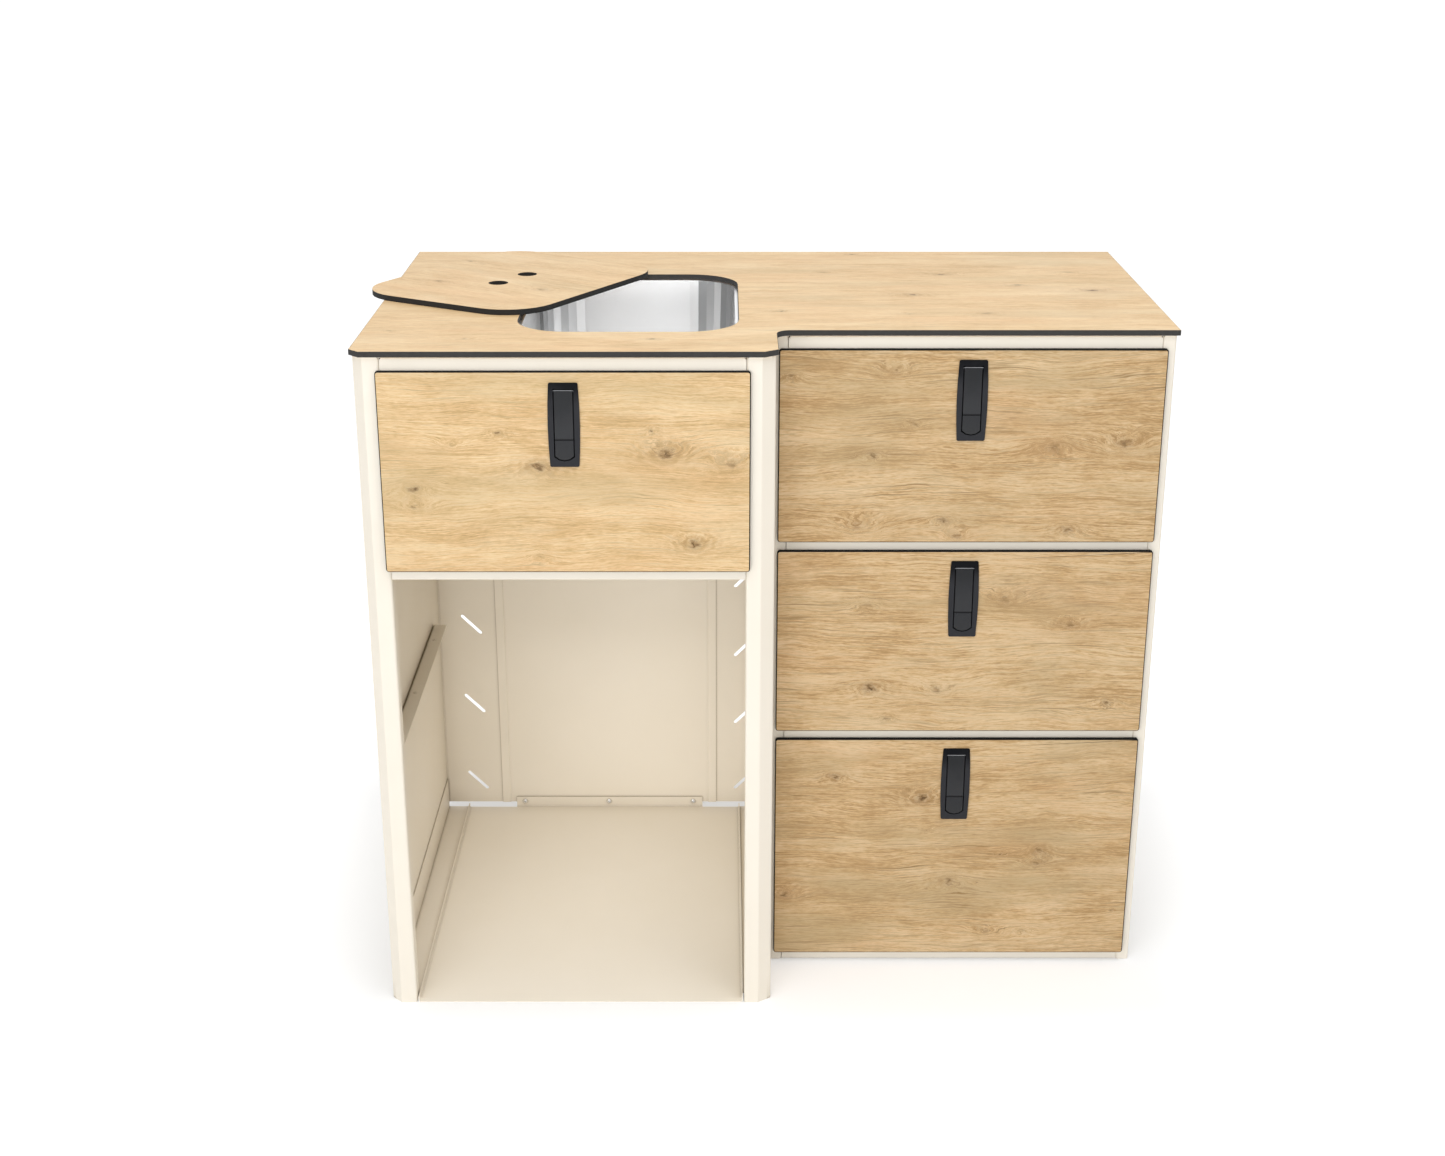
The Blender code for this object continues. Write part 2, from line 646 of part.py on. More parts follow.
def make_rail(name, span, frame, foot, top, latch_x=None):
    """A cross rail, folded to a channel that opens to the rear, with a keeper slot over a latch."""
    path = [(frame + RAIL_DEPTH, foot), (frame, foot), (frame, top), (frame + RAIL_DEPTH, top)]
    rail = prism(name, sheet_outline(path, -1), "X", span[0] + FIT_GAP, span[1] - FIT_GAP, CREAM)
    if latch_x is not None:
        half = BOLT_WIDTH / 2 + KEEPER_SPACE
        face = frame - FRONT_STANDOFF - FRONT_THICKNESS
        low = (latch_x - half, face + BOLT_FACE - KEEPER_SPACE, foot - CUT_OVERRUN)
        high = (latch_x + half, face + BOLT_BACK + KEEPER_SPACE, foot + SHEET + CUT_OVERRUN)
        cut(rail, block("keeper", low, high, CREAM))
    if top == FRAME_TOP:
        for end in span:
            relieve(rail, end, frame)
    smooth(rail)


def make_rails():
    bay = (BAY_LEFT, BAY_RIGHT)
    drawers = (DRAWERS_LEFT, DRAWERS_RIGHT)
    bay_latch = (sink_front_span()[0] + sink_front_span()[1]) / 2
    latch = (drawer_front_span()[0] + drawer_front_span()[1]) / 2
    make_rail("bay_top_rail", bay, LEFT_FRAME, UPPER_TOP - RAIL_OVERLAP, FRAME_TOP, bay_latch)
    make_rail("bay_head_rail", bay, LEFT_FRAME, UPPER_FOOT - HEAD_RAIL_REVEAL,
              UPPER_FOOT + RAIL_OVERLAP)
    make_rail("drawers_top_rail", drawers, RIGHT_FRAME, UPPER_TOP - RAIL_OVERLAP, FRAME_TOP, latch)
    make_rail("drawers_upper_rail", drawers, RIGHT_FRAME, MIDDLE_TOP - RAIL_OVERLAP,
              UPPER_FOOT + RAIL_OVERLAP, latch)
    make_rail("drawers_lower_rail", drawers, RIGHT_FRAME, LOWER_TOP - RAIL_OVERLAP,
              MIDDLE_FOOT + RAIL_OVERLAP, latch)
    make_rail("drawers_bottom_rail", drawers, RIGHT_FRAME, 0, FRONT_FOOT + RAIL_OVERLAP)


def sink_front_span():
    return BAY_LEFT - SINK_FRONT_OVERLAP, BAY_RIGHT + SINK_FRONT_OVERLAP


def drawer_front_span():
    return RIGHT_INNER + FRONT_NEAR_REVEAL, RIGHT_OUTER - FRONT_FAR_REVEAL


def make_front(name, span, foot, top, place):
    """A drawer front with the hole for its latch."""
    face = place.y
    outline = rounded_box((span[0], foot), (span[1], top), FRONT_CORNER, SMALL_STEPS)
    front = prism(name, outline, "Y", face, face + FRONT_THICKNESS, OAK)
    half = LATCH_BODY_WIDTH / 2 + LATCH_HOLE_CLEARANCE
    low = (place.x - half, face - CUT_OVERRUN, place.z + LATCH_BODY_FOOT - LATCH_HOLE_CLEARANCE)
    high = (place.x + half, face + FRONT_THICKNESS + CUT_OVERRUN,
            place.z - LATCH_BODY_INSET + LATCH_HOLE_CLEARANCE)
    return smooth(cut(front, block("hole", low, high, OAK)))


def make_runner(name, opening, inward, frame, foot):
    """A runner channel, open toward its drawer, between the front post and the rear strip."""
    wall = opening + inward * FIT_GAP
    edge = wall + inward * RUNNER_WIDTH
    path = [(edge, foot), (wall, foot), (wall, foot + RUNNER_HEIGHT), (edge, foot + RUNNER_HEIGHT)]
    smooth(prism(name, sheet_outline(path, -inward), "Y", frame, STRIP_FACE - FIT_GAP, ZINC))


def half_box_path(side, inward, foot, height):
    """One side of a drawer box, from its top hem down past the rib that runs in the runner."""
    rib = RUNNER_WIDTH + BOX_SIDE_CLEARANCE - SHEET - RUNNER_CLEARANCE
    rib_foot = foot + RUNNER_RISE + SHEET + RUNNER_CLEARANCE
    rib_top = foot + RUNNER_RISE + RUNNER_HEIGHT - SHEET - RUNNER_CLEARANCE
    hem = foot + height - SHEET
    return [(side - inward * BOX_HEM, hem), (side, hem), (side, rib_top), (side - inward * rib, rib_top),
            (side - inward * rib, rib_foot), (side, rib_foot), (side, foot)]


def make_box(name, opening, frame, foot, height, front_height):
    """A drawer box: sides and floor folded from one sheet, with a front and a rear wall."""
    play = FIT_GAP + RUNNER_WIDTH + BOX_SIDE_CLEARANCE
    left = opening[0] + play
    right = opening[1] - play
    start = frame - FRONT_STANDOFF + FIT_GAP
    end = STRIP_FACE - BOX_REAR_CLEARANCE
    path = half_box_path(left, 1, foot, height) + half_box_path(right, -1, foot, height)[::-1]
    box = prism(name, sheet_outline(path, 1), "Y", start, end, ZINC)
    bite = SHEET - BOX_WALL_BITE
    walls = ((start + BEND, front_height), (end - BEND - SHEET, height))
    for y, wall_height in walls:
        low = (left + bite, y, foot + bite)
        high = (right - bite, y + SHEET, foot + wall_height - BEND)
        join(box, block("wall", low, high, ZINC))
    return smooth(box)


def shield(half, top, side_foot):
    """A flat-topped outline whose foot is a shallow arc."""
    radius = (half * half + RECESS_ARC * RECESS_ARC) / (2 * RECESS_ARC)
    swing = degrees(asin(half / radius))
    foot = arc((0, side_foot - RECESS_ARC + radius), radius, -90 - swing, -90 + swing, SMALL_STEPS)
    return foot + [(half, top), (-half, top)]


def bezel_outline():
    """A tall rectangle with small round corners and sides that bow outward."""
    half = LATCH_END_WIDTH / 2
    inner = half - LATCH_CORNER
    run = LATCH_HEIGHT - LATCH_CORNER - LATCH_CORNER
    bow_radius = (run * run / 4 + LATCH_BOW * LATCH_BOW) / (2 * LATCH_BOW)
    swing = degrees(asin(run / 2 / bow_radius))
    middle = -LATCH_HEIGHT / 2
    bow = arc((half + LATCH_BOW - bow_radius, middle), bow_radius, -swing, swing, CORNER_STEPS)
    right = arc((inner, LATCH_CORNER - LATCH_HEIGHT), LATCH_CORNER, -90, 0, SMALL_STEPS)[:-1]
    right += bow + arc((inner, -LATCH_CORNER), LATCH_CORNER, 0, 90, SMALL_STEPS)[1:]
    return right + [(-x, z) for x, z in right[::-1]]


def make_latch_housing(name):
    """The bezel and body, hollowed for the lever, the button, the bolt and their pivots."""
    half_body = LATCH_BODY_WIDTH / 2
    housing = prism(name, bezel_outline(), "Y", LEVER_FACE, -FIT_GAP, PLASTIC)
    body = block("body", (-half_body, LEVER_FACE / 2, LATCH_BODY_FOOT),
                 (half_body, LATCH_BODY_DEPTH, -LATCH_BODY_INSET), PLASTIC)
    join(housing, body)
    recess = prism("recess", shield(RECESS_WIDTH / 2, -RECESS_TOP, RECESS_SIDE_FOOT), "Y",
                   LEVER_FACE - CUT_OVERRUN, RECESS_DEPTH, PLASTIC)
    pivot_end = RECESS_WIDTH / 2 - GROOVE + PIVOT_REACH + FIT_GAP
    pivot = prism("pivot", circle((0, PIVOT_HEIGHT), PIVOT_RADIUS + PIVOT_CLEARANCE), "X", -pivot_end,
                  pivot_end, PLASTIC)
    arm_half = ARM_WIDTH / 2 + ARM_SIDE_SPACE
    arm_top = PIVOT_HEIGHT + ARM_THICKNESS / 2 + ARM_TOP_SPACE
    arm_foot = PIVOT_HEIGHT - ARM_THICKNESS / 2 - ARM_SWING_SPACE
    arm_slot = block("slot", (-arm_half, RECESS_DEPTH - CUT_OVERRUN, arm_foot),
                     (arm_half, BOLT_FACE, arm_top), PLASTIC)
    bolt_half = BOLT_WIDTH / 2 + FIT_GAP
    channel_foot = -BOLT_TAIL - BOLT_TRAVEL - BOLT_END_SPACE
    channel = block("channel", (-bolt_half, BOLT_FACE - FIT_GAP, channel_foot),
                    (bolt_half, BOLT_BACK + FIT_GAP, CUT_OVERRUN), PLASTIC)
    stem_hole = prism("stem", circle((0, BUTTON_HEIGHT), STEM_RADIUS + FIT_GAP), "Y",
                      RECESS_DEPTH - CUT_OVERRUN, STEM_END + BUTTON_TRAVEL + FIT_GAP, PLASTIC)
    return cut(housing, recess, pivot, channel, arm_slot, stem_hole)


def make_latch_lever(name):
    """The pull lever, with its pivot pins and the arm that draws the bolt."""
    half = RECESS_WIDTH / 2 - GROOVE
    profile = [(LEVER_FACE, LEVER_FOOT), (LEVER_BACK, LEVER_FOOT), (LEVER_BACK, LEVER_TOP),
               (LEVER_FACE + LEVER_BEVEL, LEVER_TOP), (LEVER_FACE, LEVER_TOP - LEVER_BEVEL)]
    lever = prism(name, profile, "X", -half, half, PLASTIC)
    pins = prism("pins", circle((0, PIVOT_HEIGHT), PIVOT_RADIUS), "X", -half - PIVOT_REACH,
                 half + PIVOT_REACH, PLASTIC)
    arm = block("arm", (-ARM_WIDTH / 2, LEVER_BACK - LEVER_BEVEL, PIVOT_HEIGHT - ARM_THICKNESS / 2),
                (ARM_WIDTH / 2, ARM_LENGTH, PIVOT_HEIGHT + ARM_THICKNESS / 2), PLASTIC)
    return join(lever, pins, arm)


def make_latch_button(name):
    outline = shield(RECESS_WIDTH / 2 - GROOVE, BUTTON_TOP, BUTTON_SIDE_FOOT)
    button = prism(name, outline, "Y", LEVER_FACE, BUTTON_BACK, PLASTIC)
    stem = prism("stem", circle((0, BUTTON_HEIGHT), STEM_RADIUS), "Y", BUTTON_BACK - LEVER_BEVEL,
                 STEM_END, PLASTIC)
    return join(button, stem)


def make_latch_bolt(name):
    """The bolt, with a slanted nose and a window for the lever's arm."""
    profile = [(BOLT_FACE, -BOLT_TAIL), (BOLT_BACK, -BOLT_TAIL), (BOLT_BACK, BOLT_TIP - BOLT_BEVEL),
               (BOLT_BACK - BOLT_BEVEL, BOLT_TIP), (BOLT_FACE, BOLT_TIP)]
    bolt = prism(name, profile, "X", -BOLT_WIDTH / 2, BOLT_WIDTH / 2, ZINC)
    half = ARM_WIDTH / 2 + WINDOW_SIDE_SPACE
    reach = ARM_THICKNESS / 2 + WINDOW_END_SPACE
    window = block("window", (-half, BOLT_FACE - CUT_OVERRUN, PIVOT_HEIGHT - reach),
                   (half, BOLT_BACK + CUT_OVERRUN, PIVOT_HEIGHT + reach), ZINC)
    return cut(bolt, window)


def make_latch(prefix, slide):
    """One flush latch, whose pieces are drawn about its bezel's top and then set in the drawer."""
    place = Vector(slide.location)
    pieces = ((make_latch_housing(f"{prefix}_latch_housing"), Vector((0, 0, 0))),
              (make_latch_lever(f"{prefix}_latch_lever"), Vector((0, 0, PIVOT_HEIGHT))),
              (make_latch_button(f"{prefix}_latch_button"), Vector((0, 0, BUTTON_HEIGHT))),
              (make_latch_bolt(f"{prefix}_latch_bolt"), Vector((0, BOLT_FACE, 0))))
    for piece, pivot in pieces:
        carry(smooth(shift(piece, place)), slide, place + pivot)


def make_drawer(prefix, span, opening, frame, foot, top, box_foot, box_height):
    """A drawer with its front, box, latch and pair of runners."""
    face = frame - FRONT_STANDOFF - FRONT_THICKNESS
    place = Vector(((span[0] + span[1]) / 2, face, top - LATCH_DROP))
    slide = joint_empty(f"{prefix}_drawer_slide", place)
    below_latch = place.z + LATCH_BODY_FOOT - BOX_LATCH_SPACE - box_foot
    front_height = min(box_height, below_latch)
    carry(make_front(f"{prefix}_drawer_front", span, foot, top, place), slide, place)
    carry(make_box(f"{prefix}_drawer_box", opening, frame, box_foot, box_height, front_height), slide, place)
    make_latch(prefix, slide)
    runner_foot = box_foot + RUNNER_RISE
    make_runner(f"{prefix}_runner_left", opening[0], 1, frame, runner_foot)
    make_runner(f"{prefix}_runner_right", opening[1], -1, frame, runner_foot)


def make_drawers():
    bay = (BAY_LEFT, BAY_RIGHT)
    drawers = (DRAWERS_LEFT, DRAWERS_RIGHT)
    over_rail = RAIL_OVERLAP + BOX_FLOOR_CLEARANCE
    make_drawer("sink", sink_front_span(), bay, LEFT_FRAME, UPPER_FOOT, UPPER_TOP,
                UPPER_FOOT + over_rail, SINK_BOX_HEIGHT)
    make_drawer("upper", drawer_front_span(), drawers, RIGHT_FRAME, UPPER_FOOT, UPPER_TOP,
                UPPER_FOOT + over_rail, UPPER_BOX_HEIGHT)
    make_drawer("middle", drawer_front_span(), drawers, RIGHT_FRAME, MIDDLE_FOOT, MIDDLE_TOP,
                MIDDLE_FOOT + over_rail, UPPER_BOX_HEIGHT)
    make_drawer("lower", drawer_front_span(), drawers, RIGHT_FRAME, FRONT_FOOT, LOWER_TOP,
                FRONT_FOOT + over_rail, LOWER_BOX_HEIGHT)


def main():
    clear_scene()
    make_worktop()
    make_sink_bowl()
    make_sink_waste()
    make_waste_nut()
    make_sink_lid()
    make_sides()
    make_bay_back()
    make_drawers_back()
    make_bay_floor()
    make_base_angles()
    make_ledges()
    make_drawers_floor()
    make_rails()
    make_drawers()


main()
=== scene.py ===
"""Looks for the campervan kitchen pod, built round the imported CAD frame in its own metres."""
from math import cos, pi, radians, sin

import bmesh
import bpy
from mathutils import Matrix, Vector


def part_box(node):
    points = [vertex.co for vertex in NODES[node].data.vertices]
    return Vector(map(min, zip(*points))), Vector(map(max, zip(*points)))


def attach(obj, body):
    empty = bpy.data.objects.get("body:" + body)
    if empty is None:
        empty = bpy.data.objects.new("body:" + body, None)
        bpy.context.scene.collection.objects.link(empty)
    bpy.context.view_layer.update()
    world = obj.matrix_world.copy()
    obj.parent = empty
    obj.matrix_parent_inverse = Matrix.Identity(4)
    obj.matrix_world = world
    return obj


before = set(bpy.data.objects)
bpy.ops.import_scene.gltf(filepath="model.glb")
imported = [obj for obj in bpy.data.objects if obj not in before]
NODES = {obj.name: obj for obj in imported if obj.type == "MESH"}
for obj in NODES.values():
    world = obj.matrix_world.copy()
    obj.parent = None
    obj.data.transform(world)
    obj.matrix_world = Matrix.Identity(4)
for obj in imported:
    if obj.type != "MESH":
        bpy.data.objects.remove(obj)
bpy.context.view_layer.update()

DRAWERS = ("sink", "upper", "middle", "lower")
UP, FORWARD, BACKWARD = (0, 0, 1), (0, -1, 0), (0, 1, 0)

# Where the cabinets meet, and how far back each one counts as inside, where the cream coat gets its
# painted shade
CABINET_SPLIT = 0.004
LEFT_INSIDE = -0.292
RIGHT_INSIDE = -0.183

# The sink's cut-out in the worktop, and what lies in it
CUT_OUT_MIDDLE = (-0.1773, -0.03045)
CUT_OUT_HALF = (0.1375, 0.17125)
CUT_OUT_RADIUS = 0.065
FLANGE_TOP = 0.8730
STRAINER_TOP = 0.7334
LID_TURN = radians(-30.5)

# Fasteners: the floor tab's screws, the ledges' rivets and the rear seams' rivets
TAB_SCREWS_X = (-0.3726, -0.2396, -0.1063)
TAB_FACE_Y = 0.2692
TAB_SCREWS_Z = 0.0106
LEDGE_RIVETS_X = {"left": -0.4852, "right": -0.0078}
LEDGE_RIVETS_Y = (-0.235, -0.045, 0.150)
LEDGE_TOP = 0.334
SEAMS_X = {"bay_left": -0.4030, "bay_right": -0.0745, "drawers_left": 0.0415,
           "drawers_right": 0.4590}
SEAM_FACE_Y = 0.2725
SEAM_RIVETS_Z = [0.050 + 0.130 * k for k in range(7)]

# Screws into the fronts: how far inside the box's foot and sides, then for each drawer the
# inside of its box's front wall and the height of the upper row over the box's foot
FRONT_SCREW_LIFT = 0.014
FRONT_SCREW_INSET = 0.030
FRONT_SCREWS = {"sink": (-0.2965, 0.046), "upper": (-0.1865, 0.100), "middle": (-0.1865, 0.100),
                "lower": (-0.1865, 0.168)}

# Head radii
TAB_SCREW, FRONT_SCREW, LEDGE_RIVET, SEAM_RIVET = 0.0039, 0.0045, 0.0026, 0.0032

# Edge roundings by the last word of a node's name
EDGE_WIDTHS = {"worktop": 0.0007, "lid": 0.0007, "front": 0.0015, "housing": 0.0007,
               "lever": 0.0003, "button": 0.0003}
CREASE = radians(30)

# The camera is fitted to the photograph's straight edges
CAMERA_PLACE = (-0.0599, -2.5924, 1.4404)
CAMERA_PITCH = 20.2
CAMERA_LENS = 49.93
CAMERA_SENSOR = 36.0

# Area lamps: place, aim, size, watts and spread in degrees
LAMPS = {
    "key": ((-1.4, -3.6, 1.5), (0, 0, 0.45), (4.4, 1.6), 25.6, 180),
    "front": ((-0.7, -4.4, 0.8), (0, 0, 0.5), (3.2, 1.2), 39, 180),
    "top": ((0.1, -0.9, 3.3), (0, 0, 0.8), (2.2, 2.0), 48, 180),
    "bay": ((-0.25, 0.02, 0.345), (-0.25, 0.06, 0.0), (0.36, 0.34), 0.195, 120),
}
WORLD_LIGHT = 0.52
WORLD_SEEN = 1.0

# The studio floor round the pod's foot: half sizes, and how its glow grows away from there
POD_HALF = (0.50, 0.29, 0)
GLOW_REACH = (0.02, 0.30)
GLOW = (0.27, 0.66)

# Knots in millimetres along and across the grain: place, radius, darkness
KNOTS = {
    "sink": ((-279, 741, 13, 1.0), (-128, 757, 17, 0.85), (-144, 786, 5, 0.9), (-94, 644, 13, 1.0),
             (-430, 713, 11, 0.7), (-428, 690, 9, 0.4), (-325, 782, 6, 0.8), (-49, 745, 16, 0.45),
             (-279, 627, 8, 0.2), (-382, 768, 7, 0.2)),
    "upper": ((126, 723, 8, 0.6), (153, 831, 9, 0.4), (375, 624, 9, 0.8), (111, 630, 16, 0.3),
              (219, 637, 8, 0.6), (237, 615, 10, 0.5), (352, 735, 14, 0.35), (440, 738, 16, 0.5),
              (25, 824, 6, 0.5), (178, 761, 6, 0.3)),
    "middle": ((130, 407, 12, 0.9), (217, 405, 11, 0.5), (441, 387, 9, 0.6), (384, 496, 12, 0.45),
               (156, 364, 6, 0.5), (301, 530, 14, 0.3), (125, 523, 10, 0.2)),
    "lower": ((89, 280, 9, 1.0), (205, 249, 13, 1.0), (364, 171, 10, 0.6), (360, 151, 8, 0.5),
              (244, 124, 13, 0.55), (313, 165, 4, 0.6), (282, 123, 3, 0.8), (24, 104, 10, 0.6),
              (467, 81, 3, 0.8), (299, 47, 9, 0.3), (345, 49, 8, 0.3), (213, 200, 5, 0.4)),
    "top": ((190, 10, 12, 0.9), (241, 140, 12, 0.6), (336, 70, 9, 0.8), (432, 37, 15, 0.8),
            (417, 156, 9, 0.5), (125, 283, 9, 0.8), (79, 156, 8, 0.5), (15, -88, 8, 0.9),
            (274, -101, 13, 0.5), (176, -104, 9, 0.4), (-144, -239, 7, 0.6), (-368, -239, 9, 0.4),
            (-465, -197, 8, 0.3)),
    "lid": ((-410, -169, 8, 0.9), (-258, -145, 14, 0.4), (-456, -40, 8, 0.5)),
}

# Boards: tone over the print, contrast of the grain, darkness of the sawn core
TOP_LOOK = {"tone": (0.955, 0.915, 0.855), "depth": 0.95}
# The fronts' near-black core is partly the core's own colour and partly painted shade of the gaps
# between the fronts
SINK_FRONT_LOOK = {"tone": (0.955, 0.915, 0.84), "depth": 1.25, "core": 0.004}
RIGHT_FRONT_LOOK = {"tone": (0.79, 0.738, 0.668), "depth": 1.8, "core": 0.004}

# Moulded parts: colours at the foot and the head, where one turns into the other, and shine
PLASTICS = {
    "housing": ((0.031, 0.032, 0.036), (0.002, 0.0025, 0.004), (0.62, 1.0), 0.08),
    "lever": ((0.029, 0.030, 0.033), (0.012, 0.013, 0.015), (0.1, 0.9), 0.2),
    "button": ((0.025, 0.026, 0.028), (0.022, 0.023, 0.026), (0.1, 0.9), 0.2),
}


class Shader:
    """A material, with short calls for the nodes that its paint is made of."""

    def __init__(self, name):
        self.material = bpy.data.materials.new(name)
        self.material.use_nodes = True
        self.tree = self.material.node_tree
        self.bsdf = self.tree.nodes["Principled BSDF"]
        self.coordinate = self.tree.nodes.new("ShaderNodeTexCoord").outputs
        self.place = self.coordinate["Object"]

    def put(self, socket, value):
        if isinstance(value, bpy.types.NodeSocket):
            self.tree.links.new(value, socket)
        elif isinstance(value, tuple) and len(value) == 3 and socket.type == "RGBA":
            socket.default_value = (*value, 1.0)
        else:
            socket.default_value = value

    def node(self, kind, inputs, **settings):
        made = self.tree.nodes.new(kind)
        for key, value in settings.items():
            setattr(made, key, value)
        for key, value in inputs.items():
            self.put(made.inputs[key], value)
        return made

    def math(self, operation, a, b=0.0, c=0.0, clamp=False):
        made = self.node("ShaderNodeMath", {0: a, 1: b, 2: c},
                         operation=operation, use_clamp=clamp)
        return made.outputs[0]

    def times(self, a, b, clamp=False):
        return self.math("MULTIPLY", a, b, clamp=clamp)

    def add(self, start, *weighted):
        """Adds values to a start, each times its weight."""
        for value, weight in weighted:
            start = self.math("MULTIPLY_ADD", value, weight, start)
        return start

    def vector(self, operation, a, b=(0, 0, 0), c=(0, 0, 0)):
        made = self.node("ShaderNodeVectorMath", {0: a, 1: b, 2: c}, operation=operation)
        return made.outputs["Value" if operation in ("LENGTH", "DOT_PRODUCT") else "Vector"]

    def split(self, vector):
        return self.node("ShaderNodeSeparateXYZ", {"Vector": vector}).outputs

    def join(self, x, y, z):
        return self.node("ShaderNodeCombineXYZ", {"X": x, "Y": y, "Z": z}).outputs[0]

    def noise(self, at, stretch, detail=3.0, roughness=0.55, colour=False):
        """Noise stretched to so many grains a metre along each axis."""
        made = self.node("ShaderNodeTexNoise",
                         {"Vector": self.vector("MULTIPLY", at, stretch), "Scale": 1.0,
                          "Detail": detail, "Roughness": roughness})
        return made.outputs["Color" if colour else "Fac"]

    def ramp(self, value, low, high, start=0.0, end=1.0, smooth=False):
        made = self.node("ShaderNodeMapRange", {"Value": value, "From Min": low, "From Max": high,
                                                "To Min": start, "To Max": end},
                         interpolation_type="SMOOTHSTEP" if smooth else "LINEAR")
        return made.outputs["Result"]

    def colours(self, value, *stops):
        made = self.node("ShaderNodeValToRGB", {"Fac": value})
        ramp = made.color_ramp
        while len(ramp.elements) < len(stops):
            ramp.elements.new(0.5)
        for element, (place, colour) in zip(ramp.elements, stops):
            element.position = place
            element.color = (*colour, 1.0)
        return made.outputs["Color"]

    def mix(self, share, a, b, blend="MIX"):
        made = self.node("ShaderNodeMix", {}, data_type="RGBA", blend_type=blend)
        sockets = (made.inputs["Factor"], made.inputs[6], made.inputs[7])
        for socket, value in zip(sockets, (share, a, b)):
            self.put(socket, value)
        return made.outputs[2]

    def bump(self, height, distance, strength):
        made = self.node("ShaderNodeBump", {"Height": height, "Distance": distance,
                                            "Strength": strength})
        return made.outputs["Normal"]

    def finish(self, **inputs):
        for key, value in inputs.items():
            self.put(self.bsdf.inputs[key.replace("_", " ").title()], value)
        return self.material


def lead_round_knots(s, knots, spotted, field, seed):
    """Leads the grain's field round each knot, and sums up the knots' piths, halos and rings."""
    piths = halos = rings = 0.0
    for k, (x, y, radius, strength) in enumerate(knots):
        r = radius / 1000
        away = s.vector("SUBTRACT", spotted, (x / 1000, y / 1000, seed))
        wide = s.vector("MULTIPLY", away, (1 / (2.7 * r), 1 / r, 0))
        near = s.vector("MULTIPLY", away, (1 / (0.66 * r), 1 / (0.50 * r), 0))
        squared = s.vector("DOT_PRODUCT", near, near)
        hill = s.math("POWER", s.math("ADD", s.vector("DOT_PRODUCT", wide, wide), 1.0), -2.0)
        pith = s.math("POWER", s.math("ADD", squared, 1.0), -2.6)
        wave = s.math("SINE", s.times(s.math("SQRT", squared), -5.2))
        rings = s.add(rings, (s.times(wave, hill), strength))
        field = s.add(field, (hill, (1.3 if k % 2 else -1.3) * r))
        piths = s.add(piths, (pith, strength))
        halos = s.add(halos, (hill, strength))
    return field, piths, halos, rings


